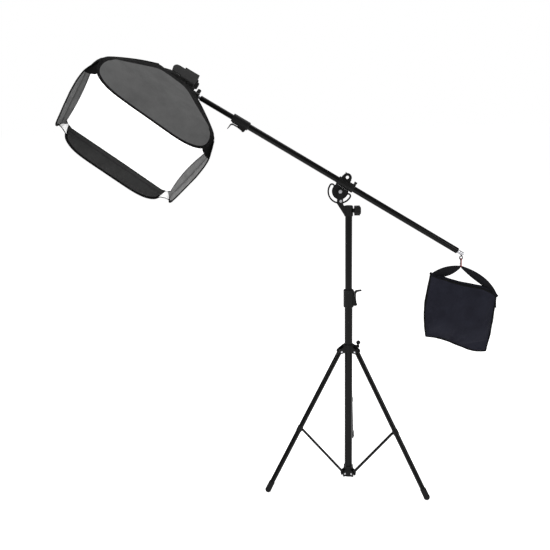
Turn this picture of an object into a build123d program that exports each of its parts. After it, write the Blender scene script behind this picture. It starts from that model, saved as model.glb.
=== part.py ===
"""Square pop-up softbox on a flash bracket, carried by a boom arm on a light stand with a sandbag.

The origin is on the floor under the column's axis, +Z up. The boom slopes down towards +X, the softbox
hangs at its upper end and faces down and towards -Y, and the sandbag hangs from its lower end.
"""

import os
from math import atan2, cos, degrees, hypot, radians, sin

from build123d import *

os.makedirs("parts", exist_ok=True)

# Tubes of the stand and the boom.
lower_tube_radius = 17.5
upper_tube_radius = 15.0
leg_tube_radius = 11.0
boom_outer_radius = 13.0
boom_inner_radius = 11.0
stud_radius = 7.95
slide_clearance = 0.05

# Tripod: leg pivots on the collar, brace pivots on the legs and on the base hub.
leg_azimuths = {"right": 322.0, "back": 82.0, "left": 202.0}
leg_pivot_radius = 42.0
leg_pivot_height = 600.0
foot_centre_radius = 396.0
foot_centre_height = 13.0
foot_radius = 13.5
lug_distance = 384.5
lug_offset = 17.5
hub_pin_radius = 24.5
hub_pin_height = 14.0
pin_radius = 3.0
brace_half_width = 8.0
brace_depth = 10.6
brace_wall = 1.6

# Column.
column_bottom = 28.0
lower_clamp_bottom = 797.0
clamp_length = 78.0
upper_tube_bottom = 620.0
socket_bottom = 1197.0
socket_top = 1242.0

# Tilt head and boom.
pivot_x = -37.0
pivot_z = 1303.0
boom_slope = 31.5
boom_rise = 37.0
slot_radius = 40.5
slot_width = 12.0
boom_right_end = 569.5
boom_clamp_start = -466.0
boom_left_end = -697.0

# Softbox bracket and softbox, along the boom and about its axis.
ring_along_boom = -834.5
ring_drop = 22.0
bracket_roll = 37.4
softbox_turn = 9.4
ring_radius = 75.0
knee_reach = 258.0
knee_depth = 234.0
lip_reach = 276.0
lip_depth = 360.0
panel_thickness = 4.0
diffuser_depth = 283.0

# Counterweight bag.
eye_x = 485.4
eye_z = 1006.0
pouch_thickness = 66.0
sand_height = 36.0


def radial_plane(azimuth):
    """Plane through the column's axis, x outwards along the azimuth and y up."""
    a = radians(azimuth)
    return Plane(origin=(0, 0, 0), x_dir=(cos(a), sin(a), 0), z_dir=(sin(a), -cos(a), 0))


def slanted_plane(azimuth, radius, height, tilt):
    """Plane whose normal points outwards and down, tilt degrees from straight down."""
    a = radians(azimuth)
    t = radians(tilt)
    normal = (sin(t) * cos(a), sin(t) * sin(a), -cos(t))
    side = (sin(a), -cos(a), 0)
    return Plane(origin=(radius * cos(a), radius * sin(a), height), x_dir=side, z_dir=normal)


def save(part, name):
    """Labels one finished piece and writes it to its own file."""
    part.label = name
    export_step(part, "parts/" + name + ".step")


slope = radians(boom_slope)
boom_dir = Vector(cos(slope), 0, -sin(slope))
boom_up = Vector(sin(slope), 0, cos(slope))
boom_origin = Vector(pivot_x, 0, pivot_z) + boom_up * boom_rise
# x along the boom, y square to it upwards, z towards -Y.
boom_side = Plane(origin=boom_origin, x_dir=boom_dir, z_dir=(0, -1, 0))


def along_boom(distance):
    """Plane square to the boom at a distance along it, local x pointing square up."""
    return Plane(origin=boom_origin + boom_dir * distance, x_dir=boom_up, z_dir=boom_dir)


roll = radians(bracket_roll)
front_dir = boom_up * -cos(roll) + Vector(0, -1, 0) * sin(roll)
ring_centre = boom_origin + boom_dir * ring_along_boom + front_dir * ring_drop
# Bracket frame: x down the bracket along the boom, z towards the softbox's front.
bracket = Plane(origin=ring_centre, x_dir=boom_dir, z_dir=front_dir)
turn = radians(-softbox_turn)
softbox_x = boom_dir * cos(turn) + bracket.y_dir * sin(turn)
softbox = Plane(origin=ring_centre, x_dir=softbox_x, z_dir=front_dir)


def on_frame(frame, origin, x_dir, z_dir):
    """Plane given in a frame's own coordinates."""
    place = lambda v: frame.x_dir * v[0] + frame.y_dir * v[1] + frame.z_dir * v[2]
    return Plane(origin=frame.origin + place(origin), x_dir=place(x_dir), z_dir=place(z_dir))


# ---------------------------------------------------------------- column and hub

with BuildPart() as lower_column:
    with BuildSketch(Plane.XY.offset(column_bottom)):
        Circle(lower_tube_radius)
        Circle(lower_tube_radius - 1.6, mode=Mode.SUBTRACT)
    extrude(amount=lower_clamp_bottom + 38 - column_bottom)
save(lower_column.part, "lower_column")

hub_cheek = 4.5
slot_half = brace_half_width + 0.5

with BuildPart() as base_hub:
    with BuildSketch(Plane.XZ):
        with BuildLine():
            Polyline((0, 0), (24, 0), (24, 26), (21, 40), (21, 48), (0, 48), (0, 0))
        make_face()
    revolve(axis=Axis.Z)
    for azimuth in leg_azimuths.values():
        with BuildSketch(radial_plane(azimuth)):
            with BuildLine():
                Polyline((6, 0), (31, 0), (34, 12), (31, 24), (22, 30), (6, 30), (6, 0))
            make_face()
        extrude(amount=slot_half + hub_cheek, both=True)
    with BuildSketch(Plane.XY.offset(column_bottom)):
        Circle(lower_tube_radius)
    extrude(amount=30, mode=Mode.SUBTRACT)
    for azimuth in leg_azimuths.values():
        with BuildSketch(radial_plane(azimuth)):
            with BuildLine():
                Polyline((14, -5), (50, -5), (50, 60), (17.6, 60), (17.6, 27.5), (14, 27.5), (14, -5))
            make_face()
        extrude(amount=slot_half, both=True, mode=Mode.SUBTRACT)
        with BuildSketch(radial_plane(azimuth)):
            with Locations((hub_pin_radius, hub_pin_height)):
                Circle(pin_radius)
        extrude(amount=20, both=True, mode=Mode.SUBTRACT)
save(base_hub.part, "base_hub")

with BuildPart() as hub_pins:
    for azimuth in leg_azimuths.values():
        for side in (-1, 1):
            with BuildSketch(radial_plane(azimuth).offset(side * (slot_half + 0.3))):
                with Locations((hub_pin_radius, hub_pin_height)):
                    Circle(pin_radius)
            extrude(amount=side * (hub_cheek - 0.3))
            with BuildSketch(radial_plane(azimuth).offset(side * (slot_half + hub_cheek))):
                with Locations((hub_pin_radius, hub_pin_height)):
                    Circle(pin_radius + 1.2)
            extrude(amount=side * 1.5)
save(hub_pins.part, "hub_pins")


# ---------------------------------------------------------------- lever clamps

def clamp_body(base, outer_radius, big_radius, small_radius, depth):
    """Clamp on a tube joint. The base plane's x is on the lever's side, and its z points to the thin tube."""
    side_view = Plane(origin=base.origin, x_dir=base.x_dir, z_dir=base.x_dir.cross(base.z_dir))
    with BuildPart() as body:
        with BuildSketch(base):
            Circle(outer_radius)
        extrude(amount=clamp_length)
        chamfer(body.edges().filter_by(GeomType.CIRCLE), 2)
        with BuildSketch(side_view):
            with BuildLine():
                Polyline(
                    (0, 6),
                    (outer_radius + 2, 6),
                    (outer_radius + 2, clamp_length - 8),
                    (0, clamp_length - 8),
                    (0, 6),
                )
            make_face()
        extrude(amount=9, both=True)
        with BuildSketch(side_view):
            with Locations((outer_radius + 7, 14)):
                Circle(7)
            with BuildLine():
                Polyline(
                    (0, 7),
                    (outer_radius + 7, 7),
                    (outer_radius + 7, 21),
                    (outer_radius, clamp_length - 22),
                    (0, clamp_length - 22),
                    (0, 7),
                )
            make_face()
        extrude(amount=13.5, both=True)
        with BuildSketch(side_view):
            with BuildLine():
                Polyline(
                    (outer_radius + 2, 0),
                    (outer_radius + 30, 0),
                    (outer_radius + 30, 80),
                    (outer_radius + 2, 80),
                    (outer_radius + 2, 0),
                )
            make_face()
        extrude(amount=10.3, both=True, mode=Mode.SUBTRACT)
        with BuildSketch(side_view):
            with Locations((outer_radius + 8, 14)):
                Circle(2.5)
        extrude(amount=15, both=True)
        with BuildSketch(base):
            Circle(big_radius)
        extrude(amount=depth, mode=Mode.SUBTRACT)
        with BuildSketch(base):
            Circle(small_radius + slide_clearance)
        extrude(amount=clamp_length, mode=Mode.SUBTRACT)
    return body.part


def clamp_lever(base, outer_radius):
    """Flip lever of a tube clamp: a barrel on the clamp's pin, a flat blade and a raised tip."""
    side_view = Plane(origin=base.origin, x_dir=base.x_dir, z_dir=base.x_dir.cross(base.z_dir))
    x = outer_radius
    with BuildPart() as lever:
        with BuildSketch(side_view):
            with Locations((x + 8, 14)):
                Circle(5.5)
            with BuildLine():
                Polyline(
                    (x + 4, 14),
                    (x + 12.5, 14),
                    (x + 9, 40),
                    (x + 9, 60),
                    (x + 13, 68),
                    (x + 34, 72.5),
                    (x + 33, 75),
                    (x + 9, 72.5),
                    (x + 4, 66),
                    (x + 4, 14),
                )
            make_face()
        extrude(amount=10, both=True)
        with BuildSketch(side_view):
            with Locations((x + 8, 14)):
                Circle(2.5 + slide_clearance)
        extrude(amount=15, both=True, mode=Mode.SUBTRACT)
    return lever.part


column_clamp_base = Plane(origin=(0, 0, lower_clamp_bottom), x_dir=(1, 0, 0), z_dir=(0, 0, 1))
column_clamp = clamp_body(column_clamp_base, 22.5, lower_tube_radius, upper_tube_radius, 38)
save(column_clamp, "column_clamp")
save(clamp_lever(column_clamp_base, 22.5), "column_lever")

with BuildPart() as upper_column:
    with BuildSketch(Plane.XY.offset(upper_tube_bottom)):
        Circle(upper_tube_radius)
        Circle(upper_tube_radius - 1.5, mode=Mode.SUBTRACT)
    extrude(amount=socket_bottom + 28 - upper_tube_bottom)
save(upper_column.part, "upper_column")


# ---------------------------------------------------------------- leg collar

cheek_inner = leg_tube_radius + 0.4
cheek_outer = cheek_inner + 4.0
knob_azimuth = 8.0
knob_height = 614.0

with BuildPart() as leg_collar:
    with BuildSketch(Plane.XY.offset(594)):
        Circle(23)
    extrude(amount=34)
    chamfer(leg_collar.edges().filter_by(GeomType.CIRCLE), 1.5)
    for azimuth in leg_azimuths.values():
        with BuildSketch(radial_plane(azimuth)):
            with Locations((leg_pivot_radius, leg_pivot_height)):
                Circle(10)
            with BuildLine():
                Polyline((10, 596), (38, 591), (51.5, 602), (44, 611), (20, 626), (10, 626), (10, 596))
            make_face()
        extrude(amount=cheek_outer, both=True)
    for azimuth in leg_azimuths.values():
        with BuildSketch(radial_plane(azimuth)):
            with BuildLine():
                Polyline((24, 560), (70, 560), (70, 640), (24, 640), (24, 560))
            make_face()
        extrude(amount=cheek_inner, both=True, mode=Mode.SUBTRACT)
        with BuildSketch(radial_plane(azimuth)):
            with Locations((leg_pivot_radius, leg_pivot_height)):
                Circle(pin_radius)
        extrude(amount=20, both=True, mode=Mode.SUBTRACT)
    with BuildSketch(radial_plane(knob_azimuth)):
        with Locations((26, knob_height)):
            Rectangle(16, 13)
    extrude(amount=6.5, both=True)
    with BuildSketch(Plane.XY.offset(580)):
        Circle(lower_tube_radius + slide_clearance)
    extrude(amount=60, mode=Mode.SUBTRACT)
    with BuildSketch(slanted_plane(knob_azimuth, 20, knob_height, 90)):
        Circle(4 + slide_clearance)
    extrude(amount=20, mode=Mode.SUBTRACT)
save(leg_collar.part, "leg_collar")

with BuildPart() as collar_pins:
    for azimuth in leg_azimuths.values():
        with BuildSketch(radial_plane(azimuth)):
            with Locations((leg_pivot_radius, leg_pivot_height)):
                Circle(pin_radius)
        extrude(amount=cheek_outer, both=True)
        for side in (-1, 1):
            with BuildSketch(radial_plane(azimuth).offset(side * cheek_outer)):
                with Locations((leg_pivot_radius, leg_pivot_height)):
                    Circle(pin_radius + 1.2)
            extrude(amount=side * 1.5)
save(collar_pins.part, "collar_pins")

with BuildPart() as collar_knob:
    with BuildSketch(slanted_plane(knob_azimuth, 20, knob_height, 90)):
        Circle(4)
    extrude(amount=25)
    with BuildSketch(slanted_plane(knob_azimuth, 35, knob_height, 90)):
        Circle(6.5)
    extrude(amount=13)
    neck_foot = radial_plane(knob_azimuth).from_local_coords((43, knob_height, 0))
    with BuildSketch(Plane(origin=neck_foot, z_dir=(0, 0, 1))):
        Circle(4)
    extrude(amount=14)
    with Locations(radial_plane(knob_azimuth).from_local_coords((44.5, knob_height + 17, 0))):
        Sphere(9.5)
save(collar_knob.part, "collar_knob")


# ---------------------------------------------------------------- legs and braces

leg_angle = degrees(atan2(foot_centre_radius - leg_pivot_radius, leg_pivot_height - foot_centre_height))
leg_length = hypot(foot_centre_radius - leg_pivot_radius, leg_pivot_height - foot_centre_height)
leg_sin = sin(radians(leg_angle))
leg_cos = cos(radians(leg_angle))
lug_radius = leg_pivot_radius + lug_distance * leg_sin - lug_offset * leg_cos
lug_height = leg_pivot_height - lug_distance * leg_cos - lug_offset * leg_sin
brace_length = hypot(lug_radius - hub_pin_radius, lug_height - hub_pin_height)
brace_angle = degrees(atan2(lug_radius - hub_pin_radius, lug_height - hub_pin_height))


def leg_point(distance):
    """Radius and height of a point along a leg's axis."""
    return leg_pivot_radius + distance * leg_sin, leg_pivot_height - distance * leg_cos


def make_leg(azimuth):
    """One leg tube, from just above its pivot to the foot."""
    radius, height = leg_point(-9)
    with BuildPart() as leg:
        with BuildSketch(slanted_plane(azimuth, radius, height, leg_angle)):
            Circle(leg_tube_radius)
            Circle(leg_tube_radius - 1.5, mode=Mode.SUBTRACT)
        extrude(amount=leg_length + 4)
        with BuildSketch(radial_plane(azimuth)):
            with Locations((leg_pivot_radius, leg_pivot_height)):
                Circle(pin_radius + slide_clearance)
        extrude(amount=20, both=True, mode=Mode.SUBTRACT)
    return leg.part


def make_foot(azimuth):
    """Rubber foot: a sleeve over the tube's end and a ball flattened on the floor."""
    radius, height = leg_point(leg_length - 38)
    with BuildPart() as foot:
        with BuildSketch(slanted_plane(azimuth, radius, height, leg_angle)):
            Circle(foot_radius - 0.5)
        extrude(amount=38)
        with Locations(radial_plane(azimuth).from_local_coords((foot_centre_radius, foot_centre_height, 0))):
            Sphere(foot_radius)
        radius, height = leg_point(leg_length - 60)
        with BuildSketch(slanted_plane(azimuth, radius, height, leg_angle)):
            Circle(leg_tube_radius)
        extrude(amount=55, mode=Mode.SUBTRACT)
        split(bisect_by=Plane.XY, keep=Keep.TOP)
    return foot.part


def make_lug(azimuth):
    """Band round the leg with a lug on its inner side, whose trunnions carry the brace."""
    radius, height = leg_point(lug_distance - 11)
    with BuildPart() as lug:
        with BuildSketch(slanted_plane(azimuth, radius, height, leg_angle)):
            Circle(leg_tube_radius + 1.6)
        extrude(amount=22)
        inner = leg_point(lug_distance)
        lug_corners = []
        for along, inwards in ((-8, 8), (8, 8), (3.3, 18.5), (0, 20.4), (-3.3, 18.5)):
            corner_radius = inner[0] + along * leg_sin - inwards * leg_cos
            lug_corners.append((corner_radius, inner[1] - along * leg_cos - inwards * leg_sin))
        with BuildSketch(radial_plane(azimuth)):
            with BuildLine():
                Polyline(*lug_corners, lug_corners[0])
            make_face()
        extrude(amount=4, both=True)
        with BuildSketch(radial_plane(azimuth)):
            with Locations((lug_radius, lug_height)):
                Circle(pin_radius)
        extrude(amount=brace_half_width + 0.3, both=True)
        for side in (-1, 1):
            with BuildSketch(radial_plane(azimuth).offset(side * (brace_half_width + 0.3))):
                with Locations((lug_radius, lug_height)):
                    Circle(pin_radius + 1.2)
            extrude(amount=side * 1.4)
        with BuildSketch(slanted_plane(azimuth, radius, height, leg_angle)):
            Circle(leg_tube_radius)
        extrude(amount=22, mode=Mode.SUBTRACT)
    return lug.part


def make_brace(azimuth):
    """Channel-section brace from the leg's lug down to the hub, open towards the leg."""
    plane = radial_plane(azimuth)
    middle_radius = (lug_radius + hub_pin_radius) / 2
    middle_height = (lug_height + hub_pin_height) / 2
    slant = 90 - brace_angle
    with BuildPart() as brace:
        with BuildSketch(plane):
            with Locations(Location((middle_radius, middle_height), slant)):
                SlotCenterToCenter(brace_length, brace_depth)
        extrude(amount=brace_half_width, both=True)
        with BuildSketch(plane):
            with Locations(Location((middle_radius, middle_height), slant)):
                with Locations((0, -brace_wall)):
                    SlotCenterToCenter(brace_length + 20, brace_depth + 0.1)
                with Locations((0, -10)):
                    Rectangle(brace_length + 30, 16)
        extrude(amount=brace_half_width - brace_wall, both=True, mode=Mode.SUBTRACT)
        with BuildSketch(plane):
            with Locations((lug_radius, lug_height), (hub_pin_radius, hub_pin_height)):
                Circle(pin_radius + slide_clearance)
        extrude(amount=20, both=True, mode=Mode.SUBTRACT)
    return brace.part


for side_name, side_azimuth in leg_azimuths.items():
    save(make_leg(side_azimuth), "leg_" + side_name)
    save(make_foot(side_azimuth), "foot_" + side_name)
    save(make_lug(side_azimuth), "leg_lug_" + side_name)
    save(make_brace(side_azimuth), "brace_" + side_name)


# ---------------------------------------------------------------- tilt head

slot_bolt_angle = radians(273)
slot_bolt = (pivot_x + slot_radius * cos(slot_bolt_angle), pivot_z + slot_radius * sin(slot_bolt_angle))
fork_half = 12.0
plate_half = 3.0
head_knob_height = 1220.0
across_x = Plane(origin=(0, 0, head_knob_height), x_dir=(0, 1, 0), z_dir=(1, 0, 0))

with BuildPart() as head_casting:
    with BuildSketch(Plane.XY.offset(socket_bottom)):
        Circle(18.5)
    extrude(amount=socket_top - socket_bottom)
    chamfer(head_casting.faces().sort_by(Axis.Z)[-1].edges(), 3)
    with BuildSketch(Plane.XZ):
        with Locations((pivot_x, pivot_z)):
            Circle(12.5)
        with BuildLine():
            Polyline(
                (-49.5, pivot_z),
                (-49.5, 1250),
                (-17, 1198),
                (0, 1198),
                (0, 1239),
                (-20, 1241),
                (-24.5, 1250),
                (-24.5, pivot_z),
                (-49.5, pivot_z),
            )
        make_face()
    extrude(amount=fork_half, both=True)
    with BuildSketch(Plane.XZ):
        with Locations((pivot_x - 10, 1298)):
            Rectangle(74, 104)
    extrude(amount=plate_half + 0.3, both=True, mode=Mode.SUBTRACT)
    with BuildSketch(Plane.XZ):
        with Locations((pivot_x, pivot_z)):
            Circle(5)
        with Locations(slot_bolt):
            Circle(4)
    extrude(amount=20, both=True, mode=Mode.SUBTRACT)
    with BuildSketch(Plane.XY.offset(socket_bottom - 5)):
        Circle(upper_tube_radius + slide_clearance)
    extrude(amount=33.2, mode=Mode.SUBTRACT)
    with BuildSketch(across_x):
        Circle(4 + slide_clearance)
    extrude(amount=25, mode=Mode.SUBTRACT)
save(head_casting.part, "head_casting")

with BuildPart() as head_knob:
    with BuildSketch(across_x.offset(15.3)):
        Circle(4)
    extrude(amount=12)
    with BuildSketch(across_x.offset(19)):
        Circle(9)
    extrude(amount=6)
    with BuildSketch(across_x.offset(24)):
        Circle(21.5)
        with PolarLocations(24.5, 8):
            Circle(5.5, mode=Mode.SUBTRACT)
    extrude(amount=23)
    with BuildSketch(across_x.offset(47)):
        Circle(16.5)
    extrude(amount=4, taper=20)
save(head_knob.part, "head_knob")

with BuildPart() as pivot_bolts:
    for bolt_place, bolt_radius, head_radius in (((pivot_x, pivot_z), 5.0, 8.0), (slot_bolt, 4.0, 6.5)):
        with BuildSketch(Plane.XZ):
            with Locations(bolt_place):
                Circle(bolt_radius)
        extrude(amount=fork_half, both=True)
        for side in (-1, 1):
            with BuildSketch(Plane.XZ.offset(side * fork_half)):
                with Locations(bolt_place):
                    RegularPolygon(head_radius, 6)
            extrude(amount=side * 4.5)
save(pivot_bolts.part, "pivot_bolts")

sleeve_radius = 18.5
sleeve_start = -32.0
sleeve_length = 76.0
slot_arc = CenterArc((pivot_x, pivot_z), slot_radius, 146.5, 183)

with BuildPart() as tilt_plate:
    with BuildSketch(Plane.XZ):
        with Locations((pivot_x, pivot_z)):
            Circle(35)
        SlotArc(slot_arc, slot_width + 13)
        SlotArc(slot_arc, slot_width, mode=Mode.SUBTRACT)
        with Locations((pivot_x, pivot_z)):
            Circle(5 + slide_clearance, mode=Mode.SUBTRACT)
    extrude(amount=plate_half, both=True)
    with BuildSketch(boom_side):
        with Locations((4, -19)):
            Rectangle(52, 16)
    extrude(amount=plate_half, both=True)
    with BuildSketch(along_boom(-60)):
        Circle(sleeve_radius)
    extrude(amount=130, mode=Mode.SUBTRACT)
save(tilt_plate.part, "tilt_plate")

with BuildPart() as boom_sleeve:
    with BuildSketch(along_boom(sleeve_start)):
        Circle(sleeve_radius)
    extrude(amount=sleeve_length)
    for step in range(9):
        with BuildSketch(along_boom(sleeve_start + 10 + 6 * step)):
            Circle(sleeve_radius + 2)
            Circle(sleeve_radius - 1.3, mode=Mode.SUBTRACT)
        extrude(amount=2.6, mode=Mode.SUBTRACT)
    with BuildSketch(boom_side):
        with Locations((-4, 28)):
            Circle(19)
        with Locations((-4, 18)):
            Rectangle(42, 20)
    extrude(amount=4.5, both=True)
    with BuildSketch(boom_side):
        with Locations((-4, 29)):
            Circle(7)
    extrude(amount=10, both=True, mode=Mode.SUBTRACT)
    with BuildSketch(Plane.XY.offset(1371)):
        with Locations((-11.5, 0)):
            Circle(2)
    extrude(amount=13)
    with BuildSketch(boom_side):
        with Locations((39, 19)):
            Rectangle(10, 6)
    extrude(amount=5, both=True)
    with BuildSketch(along_boom(-60)):
        Circle(boom_outer_radius + slide_clearance)
    extrude(amount=130, mode=Mode.SUBTRACT)
    with BuildSketch(Plane(origin=boom_origin + boom_dir * 39, z_dir=boom_up)):
        Circle(3 + slide_clearance)
    extrude(amount=40, mode=Mode.SUBTRACT)
save(boom_sleeve.part, "boom_sleeve")

with BuildPart() as sleeve_screw:
    with BuildSketch(Plane(origin=boom_origin + boom_dir * 39 + boom_up * 13.3, z_dir=boom_up)):
        Circle(3)
    extrude(amount=12)
    with BuildSketch(Plane(origin=boom_origin + boom_dir * 39 + boom_up * 22.5, z_dir=boom_up)):
        RegularPolygon(6.5, 10)
    extrude(amount=8)
save(sleeve_screw.part, "sleeve_screw")


# ---------------------------------------------------------------- boom

with BuildPart() as boom_outer:
    with BuildSketch(along_boom(boom_clamp_start - 38)):
        Circle(boom_outer_radius)
        Circle(boom_outer_radius - 1.5, mode=Mode.SUBTRACT)
    extrude(amount=boom_right_end - boom_clamp_start + 38)
save(boom_outer.part, "boom_outer")

boom_clamp_base = Plane(
    origin=boom_origin + boom_dir * boom_clamp_start,
    x_dir=boom_up * -1,
    z_dir=boom_dir * -1,
)
save(clamp_body(boom_clamp_base, 18.0, boom_outer_radius, boom_inner_radius, 38), "boom_clamp")
save(clamp_lever(boom_clamp_base, 18.0), "boom_lever")

with BuildPart() as boom_inner:
    with BuildSketch(along_boom(boom_left_end)):
        Circle(boom_inner_radius)
        Circle(boom_inner_radius - 1.5, mode=Mode.SUBTRACT)
    extrude(amount=407)
save(boom_inner.part, "boom_inner")

with BuildPart() as boom_stud:
    with BuildSketch(along_boom(boom_left_end - 43)):
        Circle(stud_radius)
    extrude(amount=43)
    chamfer(boom_stud.edges().filter_by(GeomType.CIRCLE), 1)
    with BuildSketch(along_boom(boom_left_end)):
        Circle(boom_inner_radius - 1.5)
    extrude(amount=25)
save(boom_stud.part, "boom_stud")

with BuildPart() as boom_end_stud:
    with BuildSketch(along_boom(boom_right_end - 25)):
        Circle(boom_outer_radius - 1.5)
    extrude(amount=25)
    with BuildSketch(along_boom(boom_right_end)):
        Circle(8)
    extrude(amount=29)
    with BuildSketch(along_boom(boom_right_end + 29)):
        Circle(4)
    extrude(amount=3)
    with BuildSketch(Plane.XY.offset(eye_z)):
        with Locations((eye_x, 0)):
            Circle(2.5)
    extrude(amount=18, mode=Mode.SUBTRACT)
save(boom_end_stud.part, "boom_end_stud")

eye_ring_radius = 7.0
wire_radius = 2.0

with BuildPart() as boom_eye:
    with Locations(Location((eye_x, 0, eye_z), (90, 0, 0))):
        Torus(eye_ring_radius, wire_radius)
    with BuildSketch(Plane.XY.offset(eye_z + eye_ring_radius)):
        with Locations((eye_x, 0)):
            Circle(2.5)
    extrude(amount=18 - eye_ring_radius)
save(boom_eye.part, "boom_eye")


# ---------------------------------------------------------------- carabiner and bag

hook_half = 9.0
hook_top = eye_z - eye_ring_radius + 2 * wire_radius + 0.1
hook_bottom = 966.0
gate_pivot_z = 976.9
hook_plane = Plane.YZ.offset(eye_x)

with BuildPart() as carabiner:
    with BuildLine(hook_plane) as hook_path:
        FilletPolyline(
            (hook_half, 973),
            (hook_half, hook_bottom),
            (-hook_half, hook_bottom),
            (-hook_half, hook_top),
            (hook_half, hook_top),
            (hook_half, 996.5),
            radius=5.5,
        )
    with BuildSketch(Plane(origin=(eye_x, hook_half, 973), z_dir=(0, 0, -1))):
        Circle(wire_radius)
    sweep(path=hook_path.line)
save(carabiner.part, "carabiner")

with BuildPart() as carabiner_gate:
    with BuildSketch(Plane.XY.offset(974.6)):
        with Locations((eye_x, hook_half)):
            Circle(1.7)
    extrude(amount=21.5)
    with BuildSketch(Plane.YZ.offset(eye_x)):
        with Locations((hook_half, gate_pivot_z)):
            Circle(2.2)
    extrude(amount=2.5, both=True)
save(carabiner_gate.part, "carabiner_gate")

pouch_corners = ((360, 939), (648, 835), (613, 584), (345, 659))


def pouch_solid(centre_y, inset, shift):
    """One pillow-shaped pouch, filled; the inset is how far it lies inside the pouch's outer shape."""
    with BuildPart() as block:
        with BuildSketch(Plane.XZ.offset(-centre_y)) as outline:
            with Locations(shift):
                with BuildLine():
                    Polyline(*pouch_corners, pouch_corners[0])
                make_face()
            fillet(outline.vertices(), 26)
            if inset > 0:
                offset(amount=-inset, mode=Mode.REPLACE)
        extrude(amount=pouch_thickness / 2 - inset, both=True)
        fillet(block.faces().filter_by(Axis.Y).edges(), 20 - inset)
    return block.part


pouch_gap = pouch_thickness / 2 + 2.2
pouch_wall = 2.5
for pouch_name, pouch_y, pouch_shift in (("front", -pouch_gap, (0, 0)), ("back", pouch_gap, (-9, 4))):
    with BuildPart() as pouch:
        add(pouch_solid(pouch_y, 0, pouch_shift))
        add(pouch_solid(pouch_y, pouch_wall, pouch_shift), mode=Mode.SUBTRACT)
    save(pouch.part, "pouch_" + pouch_name)

left_level = 659 + sand_height
right_level = 584 + sand_height
sand_corners = ((300, left_level), (345, left_level), (613, right_level), (660, right_level))
with BuildPart() as sand_fill:
    add(pouch_solid(-pouch_gap, pouch_wall + 0.1, (0, 0)))
    add(pouch_solid(pouch_gap, pouch_wall + 0.1, (-9, 4)))
    with BuildSketch(Plane.XZ):
        with BuildLine():
            Polyline(*sand_corners, (660, 500), (300, 500), sand_corners[0])
        make_face()
    extrude(amount=100, both=True, mode=Mode.INTERSECT)
save(sand_fill.part, "sand_fill")

with BuildPart() as bag_web:
    with BuildSketch(Plane.XZ):
        with BuildLine():
            Polyline((362, 935), (645, 832.8), (640, 772), (360, 873), (362, 935))
        make_face()
    extrude(amount=1.9, both=True)
save(bag_web.part, "bag_web")

with BuildPart() as bag_strap:
    with BuildSketch(Plane.XZ):
        with BuildLine():
            ThreePointArc((364, 935), (420, 974), (484, 969.5))
            Line((484, 969.5), (483, 962.5))
            ThreePointArc((483, 962.5), (436, 940), (392, 925))
            Line((392, 925), (364, 935))
        make_face()
        with BuildLine():
            ThreePointArc((487, 969.5), (577, 927), (643.5, 834.5))
            Line((643.5, 834.5), (617, 844))
            ThreePointArc((617, 844), (548, 905), (488, 962.5))
            Line((488, 962.5), (487, 969.5))
        make_face()
        with Locations((eye_x, hook_bottom)):
            Circle(5)
            Circle(wire_radius + 0.1, mode=Mode.SUBTRACT)
    extrude(amount=1.5, both=True)
save(bag_strap.part, "bag_strap")


# ---------------------------------------------------------------- softbox bracket

bracket_side = on_frame(bracket, (0, 0, 0), (1, 0, 0), (0, -1, 0))
tilt_pin_x = 78.0
axis_drop = -ring_drop
socket_start = 92.5
socket_end = 128.0
socket_knob_x = 118.0


def down_bracket(distance, height=axis_drop):
    """Plane square to the bracket's length, at a distance down it and a height along its front axis."""
    return on_frame(bracket, (distance, 0, height), (0, 0, 1), (1, 0, 0))


with BuildPart() as bracket_socket:
    with BuildSketch(down_bracket(socket_start)):
        Circle(13.5)
    extrude(amount=socket_end - socket_start)
    with BuildSketch(bracket_side):
        with Locations((tilt_pin_x, axis_drop)):
            Circle(13)
        with Locations((tilt_pin_x + 9, axis_drop)):
            Rectangle(18, 26)
    extrude(amount=6, both=True)
    with BuildSketch(bracket_side):
        with Locations((tilt_pin_x, axis_drop)):
            Circle(4 + slide_clearance)
    extrude(amount=20, both=True, mode=Mode.SUBTRACT)
    with BuildSketch(down_bracket(socket_start + 1.5)):
        Circle(stud_radius + slide_clearance)
    extrude(amount=60, mode=Mode.SUBTRACT)
    with BuildSketch(on_frame(bracket, (socket_knob_x, 0, axis_drop), (1, 0, 0), (0, 0, -1))):
        Circle(3.5)
    extrude(amount=30, mode=Mode.SUBTRACT)
save(bracket_socket.part, "bracket_socket")

with BuildPart() as socket_knob:
    with BuildSketch(on_frame(bracket, (socket_knob_x, 0, axis_drop - 8.1), (1, 0, 0), (0, 0, -1))):
        Circle(3.45)
    extrude(amount=8)
    with BuildSketch(on_frame(bracket, (socket_knob_x, 0, axis_drop - 15), (1, 0, 0), (0, 0, -1))):
        Circle(8)
        with PolarLocations(9, 6):
            Circle(2, mode=Mode.SUBTRACT)
    extrude(amount=16)
save(socket_knob.part, "socket_knob")

cheek_gap = 6.05
cheek_width = 10.5
jaw_face = 25.0
screw_depth = -20.0

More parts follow.
